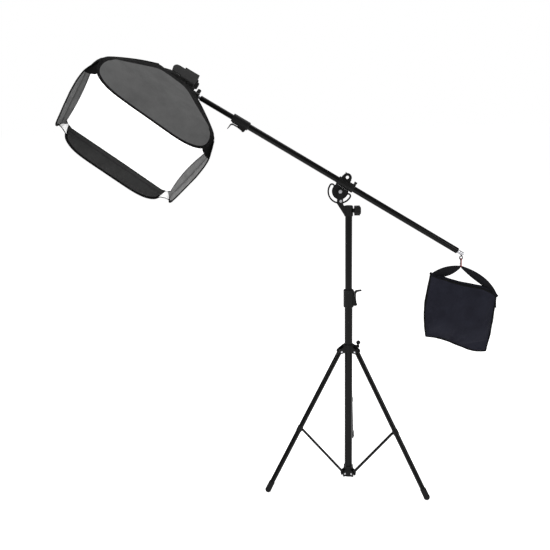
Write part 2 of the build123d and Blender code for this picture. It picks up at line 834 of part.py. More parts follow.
with BuildPart() as bracket_arm:
    with BuildSketch(bracket_side):
        with Locations((tilt_pin_x, axis_drop)):
            Circle(13)
        with BuildLine():
            Polyline((60, -3), (74, -3), (75, -9.5), (78, -35), (60, -24), (60, -3))
        make_face()
    extrude(amount=cheek_width, both=True)
    with BuildSketch(bracket_side):
        with Locations((tilt_pin_x, axis_drop)):
            Circle(4 + slide_clearance)
    extrude(amount=20, both=True, mode=Mode.SUBTRACT)
    with BuildSketch(on_frame(bracket, (0, 0, -14), (1, 0, 0), (0, 0, 1))):
        Circle(ring_radius)
        Circle(59, mode=Mode.SUBTRACT)
    extrude(amount=11)
    with BuildSketch(bracket_side):
        with Locations((83, axis_drop)):
            Rectangle(38, 60)
    extrude(amount=cheek_gap, both=True, mode=Mode.SUBTRACT)
    with BuildSketch(bracket_side):
        with BuildLine():
            Polyline(
                (jaw_face, -33),
                (31, -33),
                (31, -14),
                (63, -14),
                (63, -8),
                (jaw_face, -8),
                (jaw_face, -33),
            )
        make_face()
    extrude(amount=20, both=True)
    with BuildSketch(bracket_side):
        with Locations((-67, -17)):
            Rectangle(15, 28)
    extrude(amount=11, both=True)
    with BuildSketch(down_bracket(-90, screw_depth)):
        Circle(4 + slide_clearance)
    extrude(amount=40, mode=Mode.SUBTRACT)
save(bracket_arm.part, "bracket_arm")

with BuildPart() as clamp_jaw:
    with BuildSketch(bracket_side):
        with Locations((-jaw_face - 3.2, screw_depth)):
            Rectangle(6, 26)
    extrude(amount=20, both=True)
    with BuildSketch(down_bracket(-46, screw_depth)):
        Circle(9)
    extrude(amount=18)
    with BuildSketch(down_bracket(-60, screw_depth)):
        Circle(4 + slide_clearance)
    extrude(amount=60, mode=Mode.SUBTRACT)
save(clamp_jaw.part, "clamp_jaw")

with BuildPart() as clamp_knob:
    with BuildSketch(down_bracket(-80, screw_depth)):
        Circle(4)
    extrude(amount=50)
    with BuildSketch(down_bracket(-96, screw_depth)):
        Circle(17)
        with PolarLocations(18.5, 8):
            Circle(3.5, mode=Mode.SUBTRACT)
    extrude(amount=17)
save(clamp_knob.part, "clamp_knob")

with BuildPart() as tilt_handle:
    with BuildSketch(bracket_side.offset(-12)):
        with Locations((tilt_pin_x, axis_drop)):
            Circle(4)
    extrude(amount=28)
    with BuildSketch(bracket_side.offset(-15)):
        with Locations((tilt_pin_x, axis_drop)):
            Circle(7)
    extrude(amount=4.3)
    with BuildSketch(bracket_side.offset(14.5)):
        with Locations((tilt_pin_x, axis_drop)):
            Circle(9)
        with Locations((tilt_pin_x + 20, axis_drop)):
            SlotCenterToCenter(34, 10)
    extrude(amount=8)
save(tilt_handle.part, "tilt_handle")


# ---------------------------------------------------------------- flash

drum_depth = -64.0
drum_radius = 19.0
flash_half_width = 37.0

with BuildPart() as flash_head:
    with BuildSketch(bracket_side):
        with Locations((0, -4)):
            Rectangle(2 * jaw_face, 76)
    extrude(amount=flash_half_width, both=True)
    fillet(flash_head.edges().filter_by(Axis((0, 0, 0), front_dir)), 5)
    with BuildSketch(bracket_side):
        with Locations((0, drum_depth)):
            Circle(drum_radius)
        with Locations((0, -52)):
            Rectangle(34, 24)
    extrude(amount=23.8, both=True)
    with BuildSketch(bracket_side):
        with Locations((0, drum_depth)):
            Circle(6)
    extrude(amount=30, both=True)
save(flash_head.part, "flash_head")

with BuildPart() as flash_body:
    with BuildSketch(bracket_side):
        with Locations((0, drum_depth)):
            Circle(drum_radius)
        with Locations((15, drum_depth)):
            Rectangle(30, 2 * drum_radius)
    extrude(amount=flash_half_width, both=True)
    with BuildSketch(bracket_side):
        with Locations((2, drum_depth)):
            Rectangle(48, 60)
    extrude(amount=24.2, both=True, mode=Mode.SUBTRACT)
    with BuildSketch(bracket_side):
        with Locations((58.2, -65)):
            Rectangle(63.6, 56)
    extrude(amount=flash_half_width, both=True)
    fillet(flash_body.edges().filter_by(Axis((0, 0, 0), boom_dir)).filter_by(lambda e: e.length > 50), 5)
    with BuildSketch(bracket_side):
        with Locations((0, drum_depth)):
            Circle(6 + slide_clearance)
    extrude(amount=30.3, both=True, mode=Mode.SUBTRACT)
save(flash_body.part, "flash_body")

with BuildPart() as flash_foot:
    with BuildSketch(down_bracket(90, -65)):
        RectangleRounded(32, 40, 4)
    extrude(amount=6)
    with BuildSketch(down_bracket(96, -65)):
        Circle(15)
    extrude(amount=5)
    with BuildSketch(down_bracket(101, -65)):
        Rectangle(18, 18.6)
    extrude(amount=3)
save(flash_foot.part, "flash_foot")


# ---------------------------------------------------------------- softbox

with BuildPart() as speed_ring:
    with BuildSketch(on_frame(softbox, (0, 0, -2.9), (1, 0, 0), (0, 0, 1))):
        Circle(70.5)
        Circle(55, mode=Mode.SUBTRACT)
    extrude(amount=11)
    with BuildSketch(on_frame(softbox, (0, 0, -7.7), (1, 0, 0), (0, 0, 1))):
        Circle(58.9)
        Circle(55, mode=Mode.SUBTRACT)
        with PolarLocations(58, 3):
            Rectangle(30, 60, mode=Mode.SUBTRACT)
    extrude(amount=5.2)
save(speed_ring.part, "speed_ring")

lip_run = lip_depth - knee_depth
front_exponent = 2 / 5.5


def lip_half_width(depth):
    """Half width of a panel's rounded front part at a depth."""
    share = min((depth - knee_depth) / lip_run, 1)
    return knee_reach * (1 - share * share) ** (front_exponent / 2)


def lip_distance(depth):
    """How far a panel's front part lies from the softbox's axis at a depth."""
    return knee_reach + (lip_reach - knee_reach) * (depth - knee_depth) / lip_run


def make_panel(angle):
    """One fabric side: a flaring wedge from the ring to the knee, a rounded lip and a strip of the back wall."""
    a = radians(angle)
    outwards = (cos(a), sin(a), 0)
    sideways = (-sin(a), cos(a), 0)
    profile_plane = on_frame(softbox, (0, 0, 0), outwards, (sin(a), -cos(a), 0))
    outline_plane = on_frame(softbox, (0, 0, 0), sideways, outwards)
    front_plane = on_frame(softbox, (0, 0, 0), outwards, (0, 0, 1))
    rounded = []
    for sweep_angle in (0, 15, 30, 45, 60, 72, 82):
        depth = knee_depth + lip_run * sin(radians(sweep_angle))
        rounded.append((lip_half_width(depth), depth))
    with BuildPart() as panel:
        with BuildSketch(profile_plane):
            with BuildLine():
                Polyline(
                    (ring_radius, 0),
                    (knee_reach, knee_depth),
                    (lip_reach, lip_depth),
                    (lip_reach - panel_thickness, lip_depth),
                    (knee_reach - panel_thickness, knee_depth),
                    (ring_radius - panel_thickness, 3),
                    (ring_radius - panel_thickness - 8, 3),
                    (ring_radius - panel_thickness - 8, 0),
                    (ring_radius, 0),
                )
            make_face()
        extrude(amount=300, both=True)
        with BuildSketch(outline_plane):
            with BuildLine():
                Polyline(rounded[0], (ring_radius, -5), (-ring_radius, -5), (-rounded[0][0], rounded[0][1]))
                Spline(*[(-x, z) for x, z in rounded], (0, lip_depth), *rounded[::-1])
            make_face()
        extrude(amount=300, mode=Mode.INTERSECT)
        with BuildSketch(front_plane.offset(-5)):
            with BuildLine():
                Polyline((0, 0), (300, -300), (300, 300), (0, 0))
            make_face()
        extrude(amount=400, mode=Mode.INTERSECT)
        with BuildSketch(front_plane.offset(-1)):
            Circle(70.7)
        extrude(amount=9, mode=Mode.SUBTRACT)
    return panel.part


panels = {}
for panel_name, panel_angle in (("right", 0), ("top", 90), ("left", 180), ("bottom", 270)):
    panels[panel_name] = make_panel(panel_angle)
    save(panels[panel_name], "panel_" + panel_name)


def make_gusset(angle, neighbours):
    """Fabric corner between the rounded lips of two neighbouring panels."""
    corner_x = (cos(radians(angle)), sin(radians(angle)), 0)
    with BuildPart() as gusset:
        for depth in (knee_depth + 16, knee_depth + 50, knee_depth + 84):
            near = lip_half_width(depth) - 4
            far = lip_distance(depth)
            with BuildSketch(on_frame(softbox, (0, 0, depth), corner_x, (0, 0, 1))):
                with BuildLine():
                    Polyline((far, near), (near, far), (near, far - 4), (far - 4, near), (far, near))
                make_face()
        loft(ruled=True)
        for neighbour in neighbours:
            add(neighbour, mode=Mode.SUBTRACT)
    return gusset.part


corner_neighbours = {
    "top_right": (0, ("right", "top")),
    "top_left": (90, ("top", "left")),
    "bottom_left": (180, ("left", "bottom")),
    "bottom_right": (270, ("bottom", "right")),
}
for corner_name, (corner_angle, corner_sides) in corner_neighbours.items():
    gusset_part = make_gusset(corner_angle, [panels[side_name] for side_name in corner_sides])
    save(gusset_part, "gusset_" + corner_name)

diffuser_half = lip_distance(diffuser_depth) - panel_thickness - 0.3
with BuildPart() as diffuser:
    with BuildSketch(on_frame(softbox, (0, 0, diffuser_depth), (1, 0, 0), (0, 0, 1))) as diffuser_outline:
        Rectangle(2 * diffuser_half, 2 * diffuser_half)
        chamfer(diffuser_outline.vertices(), 20)
    extrude(amount=3)
save(diffuser.part, "diffuser")
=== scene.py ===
"""Looks of a square softbox on a boom light stand with a counterweight sandbag.

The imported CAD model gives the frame. This script adds the camera, the light, the materials, and the
sewn pieces: the softbox's cloth, its bindings and the sandbag with its strap.
"""

import math
import random

import bpy
import numpy as np
from mathutils import Matrix, Vector, noise
from mathutils.geometry import delaunay_2d_cdt


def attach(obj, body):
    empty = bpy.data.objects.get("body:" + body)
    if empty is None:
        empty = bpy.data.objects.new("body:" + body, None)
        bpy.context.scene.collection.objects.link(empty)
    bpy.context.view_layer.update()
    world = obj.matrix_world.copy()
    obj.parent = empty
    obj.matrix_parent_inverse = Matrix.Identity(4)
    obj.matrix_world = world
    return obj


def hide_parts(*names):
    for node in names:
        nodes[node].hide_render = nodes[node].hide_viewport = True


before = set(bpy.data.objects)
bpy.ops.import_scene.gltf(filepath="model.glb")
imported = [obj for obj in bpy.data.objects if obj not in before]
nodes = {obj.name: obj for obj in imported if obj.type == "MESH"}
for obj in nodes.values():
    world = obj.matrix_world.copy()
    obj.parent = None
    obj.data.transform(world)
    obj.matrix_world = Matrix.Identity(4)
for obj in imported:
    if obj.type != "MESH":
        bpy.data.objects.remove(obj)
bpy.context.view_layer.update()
scene = bpy.context.scene


# ---------------------------------------------------------------- camera and light

def make_camera():
    """Camera at chest height, level across apart from a slight roll, looking down a little."""
    pitch = math.radians(12.42)
    roll = math.radians(-1.13)
    right = Vector((1, 0, 0))
    up = Vector((0, math.sin(pitch), math.cos(pitch)))
    forward = Vector((0, math.cos(pitch), -math.sin(pitch)))
    camera_x = right * math.cos(roll) + up * math.sin(roll)
    camera_y = up * math.cos(roll) - right * math.sin(roll)
    turn = Matrix((camera_x, camera_y, -forward)).transposed().to_4x4()
    data = bpy.data.cameras.new("camera")
    data.lens = 49.48
    data.sensor_width = 36
    data.clip_end = 100
    camera = bpy.data.objects.new("camera", data)
    camera.matrix_world = Matrix.Translation((-0.3191, -3.2, 1.6507)) @ turn
    scene.collection.objects.link(camera)
    scene.camera = camera


def area_light(name, place, target, size, power, colour=(1, 1, 1)):
    """Square soft light at a place, aimed at a target."""
    data = bpy.data.lights.new(name, "AREA")
    data.shape = "SQUARE"
    data.size = size
    data.energy = power
    data.color = colour
    lamp = bpy.data.objects.new(name, data)
    aim = Vector(target) - Vector(place)
    lamp.matrix_world = Matrix.Translation(place) @ aim.to_track_quat("-Z", "Y").to_matrix().to_4x4()
    scene.collection.objects.link(lamp)


def make_world():
    """White surroundings, dimmer as a light than as a background, so that black parts keep their depth."""
    world = bpy.data.worlds.new("studio")
    scene.world = world
    world.use_nodes = True
    tree = world.node_tree
    tree.nodes.clear()
    output = tree.nodes.new("ShaderNodeOutputWorld")
    mix = tree.nodes.new("ShaderNodeMixShader")
    path = tree.nodes.new("ShaderNodeLightPath")
    light = tree.nodes.new("ShaderNodeBackground")
    light.inputs["Strength"].default_value = 0.32
    seen = tree.nodes.new("ShaderNodeBackground")
    seen.inputs["Strength"].default_value = 1.0
    seen.inputs["Color"].default_value = (1, 1, 1, 1)
    light.inputs["Color"].default_value = (1, 1, 1, 1)
    tree.links.new(path.outputs["Is Camera Ray"], mix.inputs[0])
    tree.links.new(light.outputs[0], mix.inputs[1])
    tree.links.new(seen.outputs[0], mix.inputs[2])
    tree.links.new(mix.outputs[0], output.inputs[0])


# ---------------------------------------------------------------- materials

class Shader:
    """A material's node tree, with short ways to add and join nodes."""

    def __init__(self, name):
        self.material = bpy.data.materials.new(name)
        self.material.use_nodes = True
        self.tree = self.material.node_tree
        self.bsdf = self.tree.nodes["Principled BSDF"]
        self.position = self.tree.nodes.new("ShaderNodeTexCoord").outputs["Object"]

    def node(self, kind, settings=None, **inputs):
        made = self.tree.nodes.new("ShaderNode" + kind)
        for key, value in (settings or {}).items():
            setattr(made, key, value)
        for key, value in inputs.items():
            socket = made.inputs[key.replace("_", " ")]
            if isinstance(value, bpy.types.NodeSocket):
                self.tree.links.new(value, socket)
            else:
                socket.default_value = value
        return made

    def link(self, source, socket):
        self.tree.links.new(source, self.bsdf.inputs[socket])

    def noise(self, scale, detail=3.0, roughness=0.5):
        made = self.node("TexNoise", Vector=self.position, Scale=scale, Detail=detail, Roughness=roughness)
        return made.outputs["Fac"]

    def ramp(self, value, stops):
        made = self.node("ValToRGB", Fac=value)
        ramp = made.color_ramp
        while len(ramp.elements) < len(stops):
            ramp.elements.new(0.5)
        for element, (place, colour) in zip(ramp.elements, stops):
            element.position = place
            element.color = (*colour, 1) if len(colour) == 3 else colour
        return made.outputs["Color"]

    def level(self, value, low, high):
        return self.node("MapRange", Value=value, **{"To_Min": low, "To_Max": high}).outputs["Result"]

    def math(self, operation, a, b):
        made = self.node("Math", {"operation": operation})
        for socket, value in zip(made.inputs, (a, b)):
            if isinstance(value, bpy.types.NodeSocket):
                self.tree.links.new(value, socket)
            else:
                socket.default_value = value
        return made.outputs[0]

    def bump(self, height, strength, distance, below=None):
        made = self.node("Bump", Height=height, Strength=strength, Distance=distance)
        if below is not None:
            self.tree.links.new(below, made.inputs["Normal"])
        return made.outputs["Normal"]


def grey(value, tint=(1, 1, 1)):
    """A linear grey with a slight tint."""
    return tuple(value * t for t in tint)


def painted(name, dark, light, rough, coat=0.0, metallic=0.0, gloss=0.12, grain=700.0, grain_depth=0.00006):
    """Paint, moulded plastic or cast metal: a fine grain, patches of sheen, and faint rubbed marks."""
    s = Shader(name)
    patches = s.noise(9.0, 4.0, 0.6)
    marks = s.noise(160.0, 6.0, 0.75)
    base = s.ramp(patches, ((0.3, dark), (0.75, light)))
    rubbed = s.ramp(marks, ((0.66, (0, 0, 0)), (0.78, (1, 1, 1))))
    lifted = tuple(min(1.0, c * 1.8 + 0.003) for c in light)
    mix = s.node("Mix", {"data_type": "RGBA"}, Factor=s.math("MULTIPLY", rubbed, 0.35))
    s.tree.links.new(base, mix.inputs["A"])
    mix.inputs["B"].default_value = (*lifted, 1)
    s.tree.links.new(mix.outputs["Result"], s.bsdf.inputs["Base Color"])
    s.link(s.level(s.noise(45.0, 4.0, 0.6), rough - 0.07, rough + 0.09), "Roughness")
    s.link(s.bump(s.noise(grain, 2.0, 0.5), 0.6, grain_depth), "Normal")
    s.bsdf.inputs["Metallic"].default_value = metallic
    s.bsdf.inputs["Specular IOR Level"].default_value = gloss
    s.bsdf.inputs["Coat Weight"].default_value = coat
    s.bsdf.inputs["Coat Roughness"].default_value = 0.12
    return s.material


def bare_metal(name, colour, rough, turned=900.0):
    """Bright turned metal: fine rings of the cutter and patches of wear."""
    s = Shader(name)
    wave = s.node(
        "TexWave",
        {"wave_type": "BANDS", "bands_direction": "DIAGONAL"},
        Vector=s.position,
        Scale=turned,
        Distortion=2.0,
        Detail=2.0,
    ).outputs["Fac"]
    patches = s.noise(60.0, 5.0, 0.6)
    dull = tuple(c * 0.72 for c in colour)
    s.link(s.ramp(patches, ((0.25, dull), (0.7, colour))), "Base Color")
    s.link(s.level(patches, rough - 0.08, rough + 0.12), "Roughness")
    s.link(s.bump(wave, 0.25, 0.00004), "Normal")
    s.bsdf.inputs["Metallic"].default_value = 1.0
    return s.material


def woven(name, dark, light, thread, rough=0.85, sheen=0.0, depth=0.0002, painted_glow=0.0):
    """Woven cloth: crossed threads of a given spacing, slubs, soft patches in its colour, and an optional
    painted glow.
    """
    s = Shader(name)
    warp = s.node("TexWave", {"bands_direction": "X"}, Vector=s.position, Scale=0.314 / thread,
                  Distortion=0.6, Detail=1.0).outputs["Fac"]
    weft = s.node("TexWave", {"bands_direction": "Z"}, Vector=s.position, Scale=0.314 / thread,
                  Distortion=0.6, Detail=1.0).outputs["Fac"]
    threads = s.math("MAXIMUM", warp, weft)
    patches = s.noise(14.0, 5.0, 0.6)
    mixed = s.math("ADD", s.math("MULTIPLY", patches, 0.75), s.math("MULTIPLY", threads, 0.25))
    s.link(s.ramp(mixed, ((0.3, dark), (0.72, light))), "Base Color")
    s.link(s.level(s.noise(220.0, 2.0), rough - 0.08, min(1.0, rough + 0.08)), "Roughness")
    slubs = s.bump(s.noise(70.0, 4.0, 0.6), 0.35, depth * 1.5)
    s.link(s.bump(threads, 0.7, depth, slubs), "Normal")
    s.bsdf.inputs["Specular IOR Level"].default_value = 0.06
    s.bsdf.inputs["Sheen Weight"].default_value = sheen
    s.bsdf.inputs["Sheen Roughness"].default_value = 0.5
    # Painted glow: white emission that makes the cloth brighter than the lamps alone would.
    if painted_glow > 0:
        s.bsdf.inputs["Emission Color"].default_value = (1, 1, 1, 1)
        s.bsdf.inputs["Emission Strength"].default_value = painted_glow
    return s.material


def sand_material():
    """Loose sand inside the bag's pouches."""
    s = Shader("loose_sand")
    grains = s.node("TexVoronoi", Vector=s.position, Scale=1400.0).outputs["Distance"]
    s.link(s.ramp(s.noise(900.0, 3.0), ((0.3, (0.32, 0.24, 0.15)), (0.7, (0.62, 0.5, 0.34)))), "Base Color")
    s.link(s.level(grains, 0.7, 1.0), "Roughness")
    s.link(s.bump(grains, 0.8, 0.0006), "Normal")
    return s.material


materials = {
    "tube": painted("black_gloss_tube", grey(0.0015), grey(0.003), 0.2, gloss=0.12, coat=0.0),
    "cast": painted("black_moulding", grey(0.003), grey(0.006), 0.42, grain=1100.0, grain_depth=0.00012),
    "alloy": painted("black_casting", grey(0.003), grey(0.006), 0.38, grain=500.0, grain_depth=0.0002),
    "grip": painted("ribbed_grip", grey(0.005), grey(0.009), 0.55, grain=1500.0, grain_depth=0.0002),
    "rubber": painted("foot_rubber", grey(0.005), grey(0.010), 0.72, grain=350.0, grain_depth=0.0003),
    "flash": painted("flash_plastic", grey(0.014), grey(0.022), 0.5, grain=2200.0, grain_depth=0.00012),
    # The flash head is the same black plastic, painted lighter for the light that falls on it.
    "flash_painted_light": painted(
        "flash_plastic_painted_light", grey(0.045), grey(0.07), 0.45, grain=2200.0, grain_depth=0.0001
    ),
    "steel": bare_metal("plated_steel", (0.5, 0.5, 0.52), 0.3),
    "chrome": bare_metal("bright_spigot", (0.46, 0.46, 0.48), 0.28),
    "hook": painted("red_anodised_hook", (0.13, 0.004, 0.004), (0.32, 0.012, 0.012), 0.3, metallic=0.7),
    "gate": painted("dark_gate", (0.02, 0.006, 0.006), (0.05, 0.01, 0.01), 0.35, metallic=0.6),
    "panel_grey": woven("grey_nylon", grey(0.060), grey(0.092), 0.0007, rough=0.8),
    "panel_black": woven("black_nylon", grey(0.005), grey(0.010), 0.0007, rough=0.75),
    # One lining fabric in three greys: painted shade at top and bottom, painted half shade on the left,
    # painted light on the right.
    "lining_painted_shade": woven("lining_fabric_painted_shade", grey(0.016), grey(0.026), 0.0006, rough=0.7),
    "lining_painted_half_light": woven("lining_fabric_painted_half_light", grey(0.05), grey(0.085), 0.0008, rough=0.7),
    "lining_painted_light": woven("lining_fabric_painted_light", grey(0.085), grey(0.15), 0.0008, rough=0.65),
    # Inner faces of the corners: white-silver cloth with a painted glow (emission) that makes them shine.
    "silver_painted_glow": woven("white_lining_painted_glow", grey(0.62), grey(0.8), 0.0009, rough=0.45, painted_glow=0.15),
    "binding": woven("black_binding_tape", grey(0.002), grey(0.004), 0.0011, rough=0.8, depth=0.0003),
    # The front cloth has a painted glow: emission brightens it, as no lamp lights it from inside.
    "front_cloth": woven("white_diffusion_cloth_painted_glow", grey(0.88), grey(0.93), 0.0006, rough=0.9, painted_glow=0.55),
    "thread": painted("black_thread", grey(0.012), grey(0.03), 0.6, grain=1800.0),
    "bag": woven("bag_nylon", (0.006, 0.006, 0.010), (0.013, 0.0135, 0.021), 0.0010, rough=0.72, sheen=0.02,
                 depth=0.0003),
    "webbing": woven("strap_webbing", (0.004, 0.004, 0.005), (0.009, 0.009, 0.011), 0.0016, rough=0.7,
                     depth=0.0004),
    "sand": sand_material(),
}

node_looks = {
    "tube": "lower_column upper_column leg_right leg_back leg_left boom_outer boom_inner brace_right "
            "brace_back brace_left",
    "cast": "base_hub column_clamp column_lever leg_collar leg_lug_right leg_lug_back leg_lug_left "
            "boom_clamp boom_lever tilt_handle boom_eye",
    "grip": "head_knob clamp_knob socket_knob sleeve_screw collar_knob",
    "alloy": "head_casting tilt_plate boom_sleeve bracket_socket bracket_arm clamp_jaw speed_ring",
    "rubber": "foot_right foot_back foot_left",
    "flash": "flash_body flash_foot",
    "flash_painted_light": "flash_head",
    "steel": "hub_pins collar_pins pivot_bolts boom_stud",
    "chrome": "boom_end_stud",
    "hook": "carabiner",
    "gate": "carabiner_gate",
    "sand": "sand_fill",
}


def paint(piece, *names):
    """Gives a piece its material slots, in order."""
    piece.data.materials.clear()
    for name in names:
        piece.data.materials.append(materials[name])


def paint_cad_nodes():
    for look, listed in node_looks.items():
        for name in listed.split():
            piece = nodes[name]
            for place in range(len(piece.material_slots)):
                piece.material_slots[place].material = materials[look]


# ---------------------------------------------------------------- mesh helpers

def mesh_piece(name, points, faces, body, slot, looks, smooth=True):
    """A mesh piece in the row frame that rides on a CAD body."""
    mesh = bpy.data.meshes.new(name)
    mesh.from_pydata([tuple(p) for p in points], [], faces)
    mesh.validate()
    mesh.update()
    piece = bpy.data.objects.new(name, mesh)
    scene.collection.objects.link(piece)
    paint(piece, *looks)
    for polygon in mesh.polygons:
        polygon.use_smooth = smooth
    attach(piece, body)
    return piece


def resample(points, spacing, closed=False):
    """Points at an even spacing along a polyline of any dimension."""
    path = np.array([tuple(p) for p in points], float)
    if closed:
        path = np.vstack([path, path[:1]])
    steps = np.linalg.norm(np.diff(path, axis=0), axis=1)
    along = np.concatenate([[0], np.cumsum(steps)])
    count = max(4, int(round(along[-1] / spacing)))
    wanted = np.linspace(0, along[-1], count + 1)
    found = np.array([np.interp(wanted, along, path[:, k]) for k in range(path.shape[1])]).T
    return found[:-1] if closed else found


def tube_mesh(path, radius, sides=8, closed=False, flatten=1.0, up=None):
    """Points and faces of a tube along a path; flatten squeezes it along the up direction."""
    path = [Vector(p) for p in path]
    count = len(path)
    points, faces = [], []
    reference = Vector(up) if up is not None else Vector((0.31, 0.47, 0.83))
    for i, centre in enumerate(path):
        before = path[(i - 1) % count] if closed or i > 0 else path[0]
        after = path[(i + 1) % count] if closed or i < count - 1 else path[-1]
        along = (after - before).normalized()
        side = along.cross(reference).normalized()
        lift = side.cross(along).normalized()
        for k in range(sides):
            angle = 2 * math.pi * k / sides
            outwards = side * math.cos(angle) * radius
            points.append(centre + outwards + lift * math.sin(angle) * radius * flatten)
    rings = count if closed else count - 1
    for i in range(rings):
        for k in range(sides):
            a, b = i * sides + k, i * sides + (k + 1) % sides
            c, d = ((i + 1) % count) * sides + (k + 1) % sides, ((i + 1) % count) * sides + k
            faces.append((a, b, c, d))
    if not closed:
        faces.append(tuple(range(sides))[::-1])
        faces.append(tuple((count - 1) * sides + k for k in range(sides)))
    return points, faces


def merged(*parts):
    """Several meshes' points and faces as one."""
    points, faces = [], []
    for more_points, more_faces in parts:
        start = len(points)
        points.extend(more_points)
        faces.extend(tuple(start + i for i in face) for face in more_faces)
    return points, faces


def stitch_mesh(path, normal_at, length=0.0045, gap=0.0018, width=0.00045, lift=0.0004):
    """A row of stitches lying on a surface along a path."""
    dots = resample(path, length + gap)
    parts = []
    for a, b in zip(dots[:-1], dots[1:]):
        a, b = Vector(a), Vector(b)
        along = (b - a).normalized()
        normal = normal_at((a + b) / 2)
        side = along.cross(normal).normalized() * width
        end = a + along * length
        top = normal * lift * 2
        low = -normal * lift
        ring = [a - side + low, a + side + low, end + side + low, end - side + low]
        crown = [a + along * 0.0007 + top, end - along * 0.0007 + top]
        faces = [(0, 1, 4), (1, 2, 5, 4), (2, 3, 5), (3, 0, 4, 5), (3, 2, 1, 0)]
        parts.append((ring + crown, faces))
    return merged(*parts)


# ---------------------------------------------------------------- softbox frame

slope = math.radians(31.5)
boom_dir = Vector((math.cos(slope), 0, -math.sin(slope)))
boom_up = Vector((math.sin(slope), 0, math.cos(slope)))
boom_origin = Vector((-0.037, 0, 1.303)) + boom_up * 0.037
roll_angle = math.radians(37.4)
front = boom_up * -math.cos(roll_angle) + Vector((0, -1, 0)) * math.sin(roll_angle)
ring_centre = boom_origin + boom_dir * -0.8345 + front * 0.022
bracket_y = front.cross(boom_dir)
turn_angle = math.radians(-9.4)
soft_x = boom_dir * math.cos(turn_angle) + bracket_y * math.sin(turn_angle)
soft_y = front.cross(soft_x)

RING_REACH = 0.075
KNEE_REACH = 0.258
KNEE_DEPTH = 0.234
LIP_REACH = 0.276
LIP_DEPTH = 0.360
LIP_RUN = LIP_DEPTH - KNEE_DEPTH
DIFFUSER_DEPTH = 0.2845
CLOTH = 0.0016


def soft_point(x, y, z):
    """A point of the softbox, x and y across it and z towards its front."""
    return ring_centre + soft_x * x + soft_y * y + front * z


def straight_reach(depth):
    if depth < KNEE_DEPTH:
        return RING_REACH + (KNEE_REACH - RING_REACH) * depth / KNEE_DEPTH
    return KNEE_REACH + (LIP_REACH - KNEE_REACH) * (depth - KNEE_DEPTH) / LIP_RUN


def reach(depth):
    """Distance of a side from the softbox's axis, with the bend at the knee eased."""
    flare = RING_REACH + (KNEE_REACH - RING_REACH) * depth / KNEE_DEPTH
    lip = KNEE_REACH + (LIP_REACH - KNEE_REACH) * (depth - KNEE_DEPTH) / LIP_RUN
    ease = 0.010
    return (flare + lip - math.sqrt((flare - lip) ** 2 + ease ** 2)) / 2


def lip_half_width(depth):
    share = min(max((depth - KNEE_DEPTH) / LIP_RUN, 0.0), 1.0)
    return KNEE_REACH * (1 - share * share) ** (1 / 5.5)


def lip_curve(count=48):
    """Half of a side's rounded front edge, from the knee's corner to the middle, as (across, depth)."""
    dense = []
    for i in range(count + 1):
        share = math.sin(math.pi / 2 * i / count)
        across = KNEE_REACH * max(0.0, 1 - share * share) ** (1 / 5.5)
        dense.append((across, KNEE_DEPTH + LIP_RUN * share))
    return dense


def side_outline(spacing):
    """A softbox side's outline in its own plane, from the ring round the lip and back."""
    left = [(-straight_reach(KNEE_DEPTH * i / 20), KNEE_DEPTH * i / 20) for i in range(20)]
    lip_left = [(-x, z) for x, z in lip_curve()]
    lip_right = [(x, z) for x, z in reversed(lip_curve())]
    right = [(-x, z) for x, z in reversed(left)]
    return resample(left + lip_left + lip_right[1:] + right, spacing, closed=True)


def inset_loop(outline, widths, rounds):
    """The outline moved inwards by a width at each point, with its corners eased."""
    outline = np.array(outline)
    ahead = np.roll(outline, -1, axis=0) - np.roll(outline, 1, axis=0)
    ahead /= np.linalg.norm(ahead, axis=1)[:, None]
    inwards = np.stack([ahead[:, 1], -ahead[:, 0]], axis=1)
    if np.dot(inwards[0], outline.mean(axis=0) - outline[0]) < 0:
        inwards = -inwards
    moved = outline + inwards * np.array(widths)[:, None]
    keep = []
    for point in moved:
        gaps = np.linalg.norm(outline - point, axis=1)
        nearest = int(np.argmin(gaps))
        if gaps[nearest] > widths[nearest] * 0.93:
            keep.append(point)
    loop = resample(keep, 0.009, closed=True)
    for _ in range(rounds):
        loop = 0.5 * loop + 0.25 * (np.roll(loop, 1, axis=0) + np.roll(loop, -1, axis=0))
    return resample(loop, 0.009, closed=True)


def inside(point, loop):
    """Whether a 2-D point is inside a closed loop."""
    x, y = point
    hit = False
    for (x1, y1), (x2, y2) in zip(loop, np.roll(loop, -1, axis=0)):
        if (y1 > y) != (y2 > y) and x < (x2 - x1) * (y - y1) / (y2 - y1) + x1:
            hit = not hit
    return hit


SEAM_BAND = 0.030
LIP_BAND = 0.006
CORNER_ROUND = 0.052


def rounded(across, off, depth):
    """A point of a side near its corner, (across, off), drawn in to the rounded corner at that depth."""
    radius = CORNER_ROUND * min(1.0, max(0.0, (depth - 0.06) / (KNEE_DEPTH - 0.06))) ** 1.5
    start = off - radius
    over = abs(across) - start
    if radius <= 0 or over <= 0:
        return across, off
    angle = min(over / radius, 1.0) * math.pi / 4
    sign = 1 if across >= 0 else -1
    return sign * (start + radius * math.sin(angle)), start + radius * math.cos(angle)


def band_width(point):
    """Width of the binding at a point of a side's outline: wide along the seams, narrow on the lip."""
    share = min(max((point[1] - KNEE_DEPTH - 0.01) / 0.06, 0.0), 1.0)
    return SEAM_BAND + (LIP_BAND - SEAM_BAND) * share


